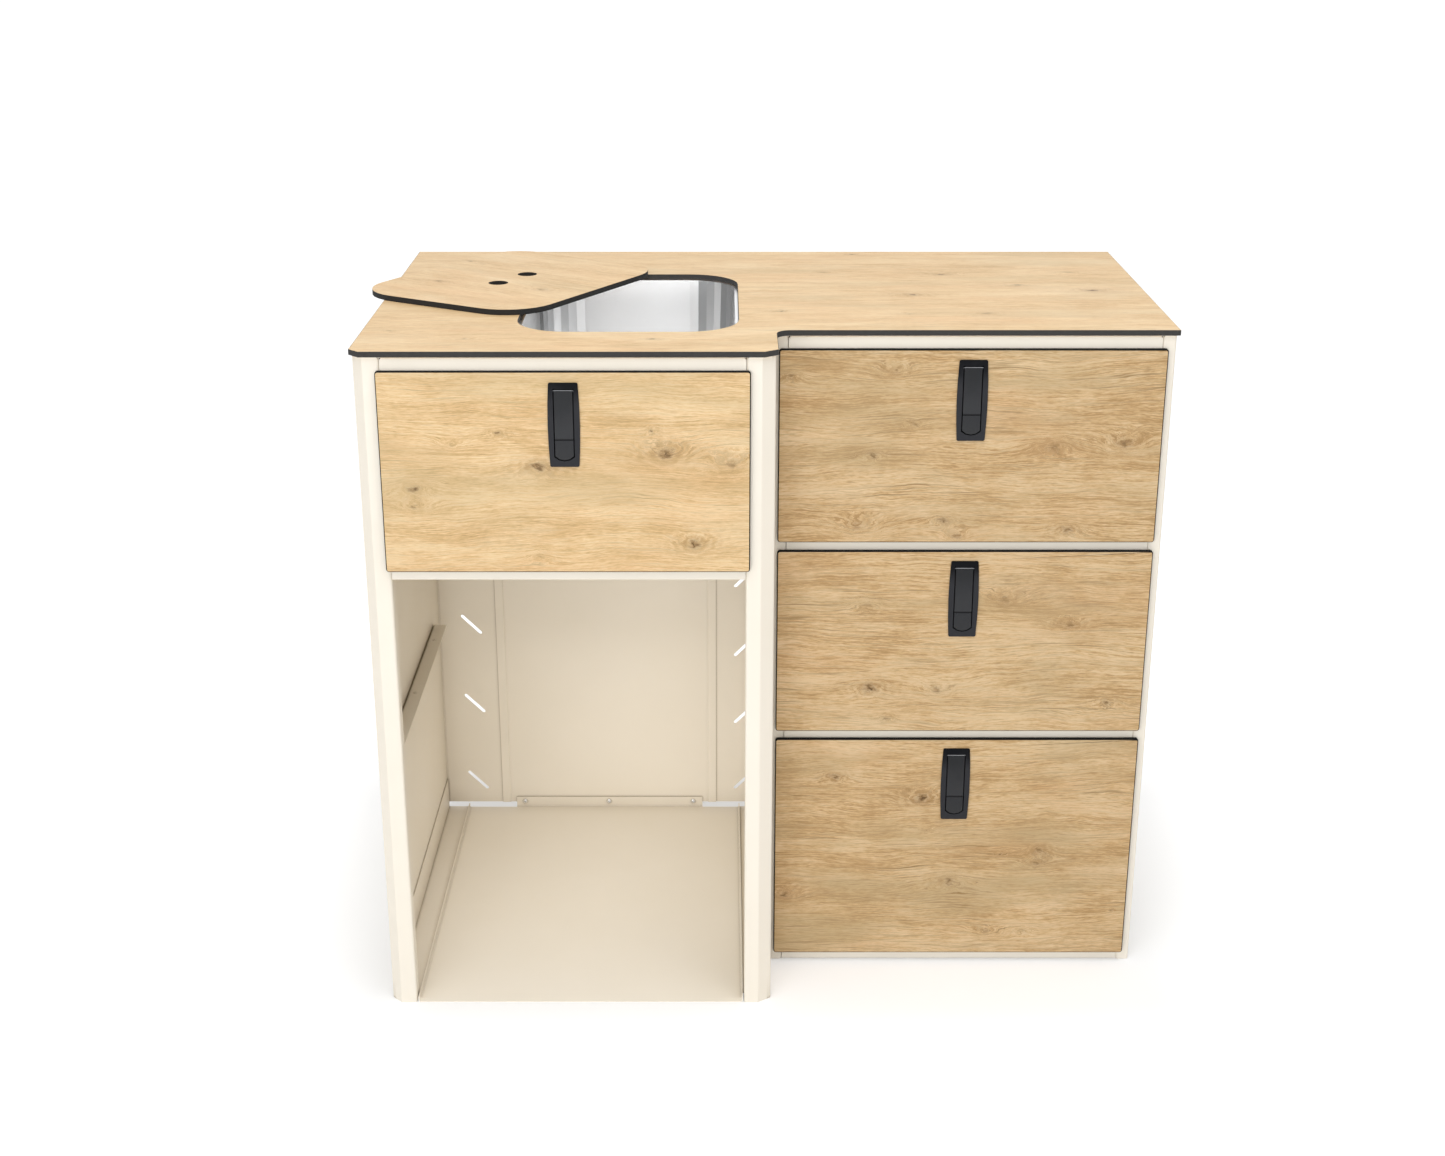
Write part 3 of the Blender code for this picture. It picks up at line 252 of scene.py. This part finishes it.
def oak(name, knots, across, seed, tone, depth, core, turn=0.0):
    """Printed oak on the faces of a board, with its dark core on the edges.

    Across is the axis over the grain, seed the place in the print and turn how the board lies.
    """
    s = Shader(name)
    at = s.place
    if turn:
        at = s.node("ShaderNodeVectorRotate", {"Vector": at, "Angle": -turn},
                    rotation_type="Z_AXIS").outputs[0]
    split = s.split(at)
    along, side = split["X"], split[across]
    board = s.join(along, side, seed)
    ragged = s.vector("SUBTRACT", s.noise(board, (60, 150, 1), 4.0, 0.6, True), (0.5, 0.5, 0.5))
    spotted = s.vector("MULTIPLY_ADD", ragged, (0.024, 0.013, 0), board)

    # Slow drift, ripples and a fine tremor carry the grain's lines over the board
    drift = s.noise(board, (3.4, 9, 1))
    ripple = s.noise(board, (24, 52, 1))
    tremor = s.noise(board, (95, 240, 1), 2.0)
    field = s.add(side, (drift, 0.042), (ripple, 0.0028), (tremor, 0.0004))
    field, piths, halos, eyes = lead_round_knots(s, knots, spotted, field, seed)

    # How pale the print is, from broad bands down to pores
    grain = s.join(along, field, seed)
    bands = s.noise(grain, (2.2, 36, 1), 6.0, 0.66)
    blotch = s.noise(spotted, (13, 34, 1), 5.0, 0.66)
    strings = s.noise(grain, (9, 470, 1), 4.0, 0.70)
    fibres = s.noise(grain, (34, 1000, 1), 3.0, 0.65)
    pores = s.noise(grain, (120, 1500, 1), 2.0, 0.6)
    rings = s.math("SINE", s.add(s.times(bands, 34.0), (field, 1150.0)))
    value = s.add(s.times(bands, 0.26), (blotch, 0.22), (strings, 0.42), (fibres, 0.30),
                  (rings, 0.010), (pores, 0.26), (eyes, 0.065))
    value = s.add(0.50, (s.math("SUBTRACT", value, 0.73), depth))
    wood = s.colours(value, (0.37, (0.55, 0.370, 0.180)), (0.44, (0.70, 0.485, 0.255)),
                     (0.50, (0.805, 0.590, 0.340)), (0.60, (0.905, 0.725, 0.475)))

    # Ruddy, pale and ashen patches, dark lines and flecks, and the knots
    ruddy = s.ramp(s.noise(board, (4.2, 12, 3)), 0.50, 0.72, 0.0, 0.34)
    wood = s.mix(ruddy, wood, (0.845, 0.555, 0.315))
    pale = s.ramp(s.noise(spotted, (6, 19, 5), 4.0, 0.62), 0.54, 0.68, 0.0, 0.42)
    pale = s.times(pale, s.ramp(fibres, 0.36, 0.60, 1.0, 0.3))
    wood = s.mix(pale, wood, (0.96, 0.83, 0.60))
    ashen = s.ramp(s.noise(board, (3.6, 15, 7)), 0.50, 0.70, 0.0, 0.34 * depth)
    wood = s.mix(ashen, wood, (0.60, 0.480, 0.285))
    zone = s.ramp(s.noise(grain, (4.5, 24, 2), 3.0, 0.6), 0.42, 0.62, 0.14 * depth, 0.62 * depth)
    lines = s.times(s.ramp(strings, 0.52, 0.66), zone)
    wood = s.mix(lines, wood, (0.42, 0.285, 0.135))
    flecks = s.ramp(s.noise(grain, (55, 900, 9), 2.0, 0.5), 0.58, 0.70, 0.0, 0.26 * depth)
    wood = s.mix(flecks, wood, (0.42, 0.28, 0.14))
    warm = s.times(s.times(halos, 0.66), s.ramp(strings, 0.40, 0.60, 0.12, 1.0), clamp=True)
    wood = s.mix(warm, wood, (0.40, 0.245, 0.105))
    torn = s.ramp(s.noise(spotted, (260, 320, 4), 3.0, 0.7), 0.36, 0.58, 0.30, 1.0)
    hearts = s.times(s.times(piths, 1.25), torn, clamp=True)
    wood = s.mix(hearts, wood, (0.135, 0.078, 0.036))
    wood = s.mix(1.0, wood, tone, "MULTIPLY")

    # The sawn edges show the core; a very dark core, as on the fronts, also stands in for shade
    facing = s.math("ABSOLUTE", s.split(s.coordinate["Normal"])["Z" if across == "Y" else "Y"])
    face = s.math("GREATER_THAN", facing, 0.99)
    sawn = s.mix(s.noise(s.place, (160, 160, 900), 2.0), (core, core * 0.96, core * 0.92),
                 (core * 2.0, core * 1.94, core * 1.86))
    colour = s.mix(face, sawn, wood)
    rough = s.mix(face, (0.95, 0.95, 0.95), s.ramp(strings, 0.3, 0.7, 0.44, 0.56))
    height = s.add(s.add(strings, (fibres, 0.5)), (lines, -0.7))
    s.bsdf.inputs["Specular IOR Level"].default_value = 0.2 if across == "Z" else 0.45
    return s.finish(base_color=colour, roughness=rough, normal=s.bump(height, 0.00012, 0.35))


def cream(name):
    """Powder coat on sheet steel: fine orange peel, slow changes of tone, a little dust, and painted
    shade in the corners and creases inside the cabinets.
    """
    s = Shader(name)
    slow = s.noise(s.place, (5, 5, 5))
    peel = s.noise(s.place, (700, 700, 700), 2.0)
    dust = s.noise(s.place, (2600, 2600, 2600), 1.0)
    colour = s.mix(s.ramp(slow, 0.3, 0.7), (0.92625, 0.85845, 0.740125), (0.95, 0.885, 0.775))
    colour = s.mix(s.ramp(dust, 0.66, 0.75, 0.0, 0.10), colour, (0.62, 0.55, 0.44))

    # Painted shade inside the cabinets: a wide ambient occlusion darkens the corners, and a tight one
    # darkens the creases and the seams' laps
    split = s.split(s.place)
    left = s.math("LESS_THAN", split["X"], CABINET_SPLIT)
    limit = s.add(RIGHT_INSIDE, (left, LEFT_INSIDE - RIGHT_INSIDE))
    inside = s.math("GREATER_THAN", split["Y"], limit)
    wide = s.node("ShaderNodeAmbientOcclusion", {"Distance": 0.040}, samples=6).outputs["AO"]
    tight = s.node("ShaderNodeAmbientOcclusion", {"Distance": 0.0045}, samples=8).outputs["AO"]
    shade = s.times(s.ramp(wide, 0.20, 0.90, 0.42, 0.0), inside)
    colour = s.mix(shade, colour, (0.48, 0.39, 0.27))
    # Painted shade, darkest in tight creases and along the seams
    painted_crease_shade = s.times(s.ramp(tight, 0.45, 0.92, 0.75, 0.0), inside)
    colour = s.mix(painted_crease_shade, colour, (0.34, 0.27, 0.18))

    rough = s.ramp(s.noise(s.place, (26, 26, 26), 4.0), 0.3, 0.7, 0.38, 0.50)
    return s.finish(base_color=colour, roughness=rough, normal=s.bump(peel, 0.00006, 0.45))


def plastic(name, foot, head, turnover, shine):
    """Moulded black plastic with a fine spark-eroded grain.

    A lever's upper bevel is smoother and carries a painted highlight, and its foot ends in a painted
    shadow line.
    """
    s = Shader(f"{name}_plastic")
    grain = s.noise(s.place, (2200, 2200, 2200), 2.0, 0.6)
    slow = s.noise(s.place, (30, 30, 30))
    climb = s.split(s.coordinate["Generated"])["Z"]
    drifted = s.add(climb, (s.math("SUBTRACT", slow, 0.5), 0.4))
    colour = s.mix(s.ramp(drifted, *turnover, smooth=True), foot, head)
    rough = s.ramp(grain, 0.3, 0.7, 0.40, 0.52)
    if name == "lever":
        # Painted highlight along the lever's upper bevel, which is also given a lower roughness
        tilt = s.split(s.coordinate["Normal"])["Z"]
        bevel = s.times(s.ramp(tilt, 0.35, 0.55), s.ramp(tilt, 0.85, 0.95, 1.0, 0.0))
        bevel = s.times(bevel, s.ramp(climb, 0.978, 0.986, 1.0, 0.0))
        colour = s.mix(bevel, colour, (0.36, 0.365, 0.385))
        rough = s.mix(bevel, rough, (0.22, 0.22, 0.22))
        # Painted shadow line along the lever's foot
        colour = s.mix(s.ramp(climb, 0.018, 0.028, 1.0, 0.0), colour, (0.002, 0.002, 0.003))
    s.bsdf.inputs["Specular IOR Level"].default_value = shine
    return s.finish(base_color=colour, roughness=rough, normal=s.bump(grain, 0.00005, 0.5))


def steel(name, base, low, high, brushed):
    """Bare or plated steel, brushed along one way, between two roughnesses."""
    s = Shader(name)
    lines = s.noise(s.place, brushed, 3.0, 0.7)
    stains = s.noise(s.place, (14, 14, 14), 4.0)
    colour = s.mix(stains, tuple(c * 0.93 for c in base), base)
    rough = s.add(low, (lines, high - low), (s.math("SUBTRACT", stains, 0.5), 0.08))
    return s.finish(base_color=colour, metallic=1.0, roughness=rough,
                    normal=s.bump(lines, 0.00002, 0.4))


def bowl_steel():
    """Drawn steel: bright on the flats, with upright streaks of painted reflection round the corners.
    """
    s = Shader("bowl_steel")
    normal = s.split(s.coordinate["Normal"])
    turn = s.math("ARCTAN2", normal["X"], normal["Y"])
    bend = s.math("ABSOLUTE", s.times(normal["X"], normal["Y"]))
    bend = s.ramp(bend, 0.03, 0.30, smooth=True)
    # Painted reflection: light and dark upright bands set by the wall's turn round each corner
    reflection_bands = s.noise(s.join(turn, 0.0, 0.0), (9, 1, 1), 3.0, 0.75)
    brushed = s.noise(s.place, (700, 700, 5), 3.0, 0.7)
    stains = s.noise(s.place, (14, 14, 14), 4.0)
    bright = s.mix(stains, (0.98, 0.983, 0.986), (0.998, 0.999, 1.0))
    painted_reflection = s.colours(reflection_bands, (0.36, (0.12, 0.125, 0.13)), (0.43, (0.34, 0.345, 0.35)),
                       (0.50, (0.93, 0.935, 0.94)), (0.57, (0.30, 0.305, 0.31)))
    colour = s.mix(s.times(bend, 0.92), bright, painted_reflection)
    rough = s.add(0.25, (brushed, 0.10), (s.math("SUBTRACT", stains, 0.5), 0.04))
    return s.finish(base_color=colour, metallic=1.0, roughness=rough,
                    normal=s.bump(brushed, 0.00002, 0.3))


def sealant():
    """Light grey silicone, smoothed by hand."""
    s = Shader("sealant")
    wave = s.noise(s.place, (90, 90, 90))
    colour = s.mix(wave, (0.42, 0.42, 0.41), (0.56, 0.56, 0.54))
    return s.finish(base_color=colour, roughness=s.ramp(wave, 0.3, 0.7, 0.28, 0.42),
                    normal=s.bump(wave, 0.0002, 0.4))


def make_boards():
    """The oak of every board, each cut from its own place in the print."""
    boards = {
        "worktop": oak("oak_top", KNOTS["top"], "Y", 1.7, core=0.029, **TOP_LOOK),
        "sink_lid": oak("oak_lid", KNOTS["lid"], "Y", 5.3, core=0.012, turn=LID_TURN, **TOP_LOOK),
    }
    for k, name in enumerate(DRAWERS):
        look = SINK_FRONT_LOOK if name == "sink" else RIGHT_FRONT_LOOK
        boards[f"{name}_drawer_front"] = oak(f"oak_{name}", KNOTS[name], "Z", 11.1 + 3.7 * k, **look)
    return boards


def paint_nodes(zinc):
    """Gives every CAD node its finished material."""
    boards = make_boards()
    plastics = {name: plastic(name, *look) for name, look in PLASTICS.items()}
    bowl = bowl_steel()
    sheet = cream("cream_coat")
    for name, node in NODES.items():
        kind = name.split("_")[-1]
        if name in boards:
            paint = boards[name]
        elif name in ("sink_bowl", "sink_waste"):
            paint = bowl
        elif name == "sink_waste_nut":
            paint = plastics["housing"]
        elif kind in plastics:
            paint = plastics[kind]
        elif kind == "bolt" or "runner" in name:
            paint = zinc
        else:
            paint = sheet
        node.data.materials.clear()
        node.data.materials.append(paint)


def weld_group():
    """Joins a node's split faces, so that its edges can be rounded."""
    group = bpy.data.node_groups.new("weld_faces", "GeometryNodeTree")
    for way in ("INPUT", "OUTPUT"):
        group.interface.new_socket("Geometry", in_out=way, socket_type="NodeSocketGeometry")
    start = group.nodes.new("NodeGroupInput")
    weld = group.nodes.new("GeometryNodeMergeByDistance")
    weld.inputs["Distance"].default_value = 0.00001
    plain = group.nodes.new("GeometryNodeRemoveAttribute")
    plain.inputs["Name"].default_value = "custom_normal"
    smooth = group.nodes.new("GeometryNodeSetShadeSmooth")
    angle = group.nodes.new("GeometryNodeInputMeshEdgeAngle")
    below = group.nodes.new("FunctionNodeCompare")
    below.operation = "LESS_THAN"
    below.inputs["B"].default_value = CREASE
    crease = group.nodes.new("GeometryNodeSetShadeSmooth")
    crease.domain = "EDGE"
    end = group.nodes.new("NodeGroupOutput")
    for a, b in ((start, weld), (weld, plain), (plain, smooth), (smooth, crease), (crease, end)):
        group.links.new(a.outputs[0], b.inputs[0])
    group.links.new(angle.outputs["Unsigned Angle"], below.inputs["A"])
    group.links.new(below.outputs[0], crease.inputs["Shade Smooth"])
    return group


def soften(node, group, width):
    """Rounds a node's edges a little, as cutting, bending or moulding leaves them."""
    node.modifiers.new("weld", "NODES").node_group = group
    flat = node.modifiers.new("flat", "DECIMATE")
    flat.decimate_type = "DISSOLVE"
    flat.angle_limit = radians(1)
    bevel = node.modifiers.new("bevel", "BEVEL")
    bevel.width = width
    bevel.segments = 2
    bevel.limit_method = "ANGLE"
    bevel.angle_limit = CREASE
    bevel.harden_normals = True
    bevel.use_clamp_overlap = not node.name.endswith("front")


def soften_nodes():
    group = weld_group()
    for name, node in NODES.items():
        width = EDGE_WIDTHS.get(name.split("_")[-1])
        if width:
            soften(node, group, width)


def settle(name, bm, paint, body, place=(0, 0, 0), way=UP):
    """Turns a mesh drawn about +Z to its way, moves it to its place and lets it ride on a body."""
    bmesh.ops.recalc_face_normals(bm, faces=bm.faces)
    bm.transform(Matrix.Translation(place) @ Vector(way).to_track_quat("Z", "Y").to_matrix().to_4x4())
    for face in bm.faces:
        face.smooth = True
    for edge in bm.edges:
        edge.smooth = edge.calc_face_angle(0.0) < radians(32)
    mesh = bpy.data.meshes.new(name)
    bm.to_mesh(mesh)
    bm.free()
    mesh.materials.append(paint)
    piece = bpy.data.objects.new(name, mesh)
    bpy.context.scene.collection.objects.link(piece)
    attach(piece, body)


def skin(bm, rings):
    """Joins each ring of vertices to the next one."""
    for ring, following in zip(rings, rings[1:]):
        for n in range(len(ring)):
            m = (n + 1) % len(ring)
            bm.faces.new((ring[n], ring[m], following[m], following[n]))


def lathe(bm, profile, recess=0, segments=48):
    """Turns a profile of radii and heights about +Z; its last rings may form a cross recess."""
    rings = []
    for k, (radius, height) in enumerate(profile):
        ring = []
        for n in range(segments):
            angle = 2 * pi * n / segments
            cross = 0.34 + 0.66 * abs(cos(2 * angle)) ** 8
            reach = radius * (cross if k >= len(profile) - recess else 1.0)
            ring.append(bm.verts.new((reach * cos(angle), reach * sin(angle), height)))
        rings.append(ring)
    skin(bm, rings)
    bm.faces.new(rings[0][::-1])
    bm.faces.new(rings[-1])


def screw(name, paint, body, place, way, size):
    """A pan-head screw with a cross recess."""
    bm = bmesh.new()
    shape = ((1.0, 0.0), (1.0, 0.14), (0.95, 0.30), (0.82, 0.44), (0.66, 0.52), (0.60, 0.535),
             (0.57, 0.53), (0.40, 0.20), (0.12, 0.12))
    lathe(bm, [(r * size, h * size) for r, h in shape], recess=3)
    settle(name, bm, paint, body, place, way)


def rivet(name, paint, body, place, way, size):
    """A blind rivet's domed head, open in its middle."""
    bm = bmesh.new()
    shape = ((1.0, 0.0), (1.0, 0.07), (0.90, 0.20), (0.70, 0.33), (0.50, 0.40), (0.38, 0.41),
             (0.34, 0.36), (0.33, 0.12), (0.16, 0.10))
    lathe(bm, [(r * size, h * size) for r, h in shape])
    settle(name, bm, paint, body, place, way)


def loop(bm, inner, outer, low, high, segments=64, ease=0.0002):
    """A flat ring with eased upper corners."""
    profile = ((inner, low), (outer, low), (outer, high - ease), (outer - ease, high),
               (inner + ease, high), (inner, high - ease))
    rings = []
    for radius, height in profile:
        angles = [2 * pi * n / segments for n in range(segments)]
        rings.append([bm.verts.new((radius * cos(a), radius * sin(a), height)) for a in angles])
    skin(bm, rings + rings[:1])


def spoke(bm, angle, start, end, half_width, low, high):
    """A flat bar that points away from the middle."""
    along = Vector((cos(angle), sin(angle), 0))
    across = Vector((-sin(angle), cos(angle), 0)) * half_width
    corners = [along * start - across, along * end - across,
               along * end + across, along * start + across]
    foot, head = ([bm.verts.new((*c.xy, height)) for c in corners] for height in (low, high))
    bm.faces.new(foot[::-1])
    bm.faces.new(head)
    skin(bm, [foot, head])


def strainer(name, paint, body, place):
    """The drain's grating: three rings, twelve spokes and a domed boss."""
    bm = bmesh.new()
    for inner, outer in ((0.0262, 0.0281), (0.0188, 0.0200), (0.0120, 0.0132)):
        loop(bm, inner, outer, -0.0014, 0.0)
    lathe(bm, [(0.0062, -0.0014), (0.0062, -0.0002), (0.0052, 0.0003), (0.0030, 0.0006),
               (0.0008, 0.0007)])
    for k in range(12):
        spoke(bm, 2 * pi * k / 12, 0.0058, 0.0266, 0.0007, -0.0012, -0.0003)
    settle(name, bm, paint, body, place)


def cut_out(inset, height, steps=12):
    """The sink cut-out's outline, moved inward by an inset."""
    half_x, half_y = (half - CUT_OUT_RADIUS for half in CUT_OUT_HALF)
    radius = CUT_OUT_RADIUS - inset
    points = []
    for quarter, (sx, sy) in enumerate(((1, 1), (-1, 1), (-1, -1), (1, -1))):
        for n in range(steps + 1):
            angle = pi / 2 * (quarter + n / steps)
            points.append((CUT_OUT_MIDDLE[0] + sx * half_x + radius * cos(angle),
                           CUT_OUT_MIDDLE[1] + sy * half_y + radius * sin(angle), height))
    return points


def bead(name, paint, body):
    """The hollow fillet of sealant between the worktop's cut edge and the bowl's flange."""
    bm = bmesh.new()
    profile = ((0.0, 0.0), (0.0, 0.0018), (0.0003, 0.0010), (0.0008, 0.0005), (0.0018, 0.0))
    rings = [[bm.verts.new(point) for point in cut_out(inset, FLANGE_TOP + rise)]
             for inset, rise in profile]
    skin(bm, rings + rings[:1])
    settle(name, bm, paint, body)


def screw_front(name, paint):
    """Two rows of screws, from inside the drawer box into its front."""
    low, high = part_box(f"{name}_drawer_box")
    wall, rise = FRONT_SCREWS[name]
    for row, z in enumerate((low[2] + FRONT_SCREW_LIFT, low[2] + rise), 1):
        for side, x in (("left", low[0] + FRONT_SCREW_INSET), ("right", high[0] - FRONT_SCREW_INSET)):
            screw(f"{name}_front_screw_{side}_{row}", paint, f"{name}_drawer", (x, wall, z),
                  BACKWARD, FRONT_SCREW)


def make_fittings(zinc, coat):
    """Screws, rivets, the strainer and the bead, which the CAD model leaves out."""
    bright = steel("screw_steel", (0.80, 0.81, 0.83), 0.16, 0.30, (300, 300, 300))
    for k, x in enumerate(TAB_SCREWS_X, 1):
        screw(f"floor_tab_screw_{k}", bright, "carcass", (x, TAB_FACE_Y, TAB_SCREWS_Z), FORWARD,
              TAB_SCREW)
    for side, x in LEDGE_RIVETS_X.items():
        for k, y in enumerate(LEDGE_RIVETS_Y, 1):
            rivet(f"ledge_rivet_{side}_{k}", coat, "carcass", (x, y, LEDGE_TOP), UP, LEDGE_RIVET)
    for seam, x in SEAMS_X.items():
        for k, z in enumerate(SEAM_RIVETS_Z, 1):
            rivet(f"{seam}_rivet_{k}", coat, "carcass", (x, SEAM_FACE_Y, z), BACKWARD, SEAM_RIVET)
    for name in DRAWERS:
        screw_front(name, zinc)
    strainer("sink_strainer", bright, "carcass", (*CUT_OUT_MIDDLE, STRAINER_TOP))
    bead("sink_sealant", sealant(), "carcass")


def seen_directly(tree):
    """One for camera, mirrored and glass rays, and nought for the rays that light the pod."""
    path = tree.nodes.new("ShaderNodeLightPath").outputs
    seen = path["Is Camera Ray"]
    for ray in ("Is Glossy Ray", "Is Transmission Ray"):
        either = tree.nodes.new("ShaderNodeMath")
        either.operation = "MAXIMUM"
        tree.links.new(seen, either.inputs[0])
        tree.links.new(path[ray], either.inputs[1])
        seen = either.outputs[0]
    return seen


def floor_paint():
    """White studio floor, lit up where it is seen, and less so in the shadow at the pod's foot."""
    s = Shader("stage_floor")
    beyond = s.vector("SUBTRACT", s.vector("ABSOLUTE", s.place), POD_HALF)
    away = s.vector("LENGTH", s.vector("MAXIMUM", beyond, (0, 0, 0)))
    glow = s.times(seen_directly(s.tree), s.ramp(away, *GLOW_REACH, *GLOW))
    s.bsdf.inputs["Specular IOR Level"].default_value = 0.0
    return s.finish(base_color=(0.78, 0.78, 0.78), roughness=0.9, emission_color=(1, 1, 1),
                    emission_strength=glow)


def make_stage(steps=24, reach=30.0, height=-0.0002):
    mesh = bpy.data.meshes.new("floor")
    bm = bmesh.new()
    marks = [reach * (2 * n / steps - 1) for n in range(steps + 1)]
    grid = [[bm.verts.new((x, y, height)) for x in marks] for y in marks]
    for near, far in zip(grid, grid[1:]):
        for n in range(steps):
            bm.faces.new((near[n], near[n + 1], far[n + 1], far[n]))
    bm.to_mesh(mesh)
    bm.free()
    mesh.materials.append(floor_paint())
    floor = bpy.data.objects.new("floor", mesh)
    bpy.context.scene.collection.objects.link(floor)


def make_world():
    """Plain white, at one level where it is seen and at another where it lights the pod."""
    world = bpy.data.worlds.new("studio")
    bpy.context.scene.world = world
    world.use_nodes = True
    tree = world.node_tree
    level = tree.nodes.new("ShaderNodeMapRange")
    tree.links.new(seen_directly(tree), level.inputs["Value"])
    level.inputs["To Min"].default_value = WORLD_LIGHT
    level.inputs["To Max"].default_value = WORLD_SEEN
    background = tree.nodes["Background"]
    background.inputs["Color"].default_value = (1, 1, 1, 1)
    tree.links.new(level.outputs["Result"], background.inputs["Strength"])


def make_lamp(name, place, aim, size, watts, spread):
    lamp = bpy.data.lights.new(name, "AREA")
    lamp.shape = "RECTANGLE"
    lamp.size, lamp.size_y = size
    lamp.energy = watts
    lamp.spread = radians(spread)
    item = bpy.data.objects.new(name, lamp)
    bpy.context.scene.collection.objects.link(item)
    item.location = place
    item.rotation_euler = (Vector(aim) - Vector(place)).to_track_quat("-Z", "Y").to_euler()
    item.visible_camera = False


def make_camera():
    data = bpy.data.cameras.new("camera")
    data.sensor_width = CAMERA_SENSOR
    data.lens = CAMERA_LENS
    item = bpy.data.objects.new("camera", data)
    bpy.context.scene.collection.objects.link(item)
    item.location = CAMERA_PLACE
    item.rotation_euler = (radians(90 - CAMERA_PITCH), 0, 0)
    bpy.context.scene.camera = item


def main():
    make_camera()
    make_stage()
    make_world()
    for name, settings in LAMPS.items():
        make_lamp(name, *settings)
    bpy.context.scene.view_settings.view_transform = "Standard"
    zinc = steel("zinc_plate", (0.60, 0.61, 0.63), 0.34, 0.50, (60, 60, 700))
    paint_nodes(zinc)
    soften_nodes()
    make_fittings(zinc, cream("rivet_coat"))


main()
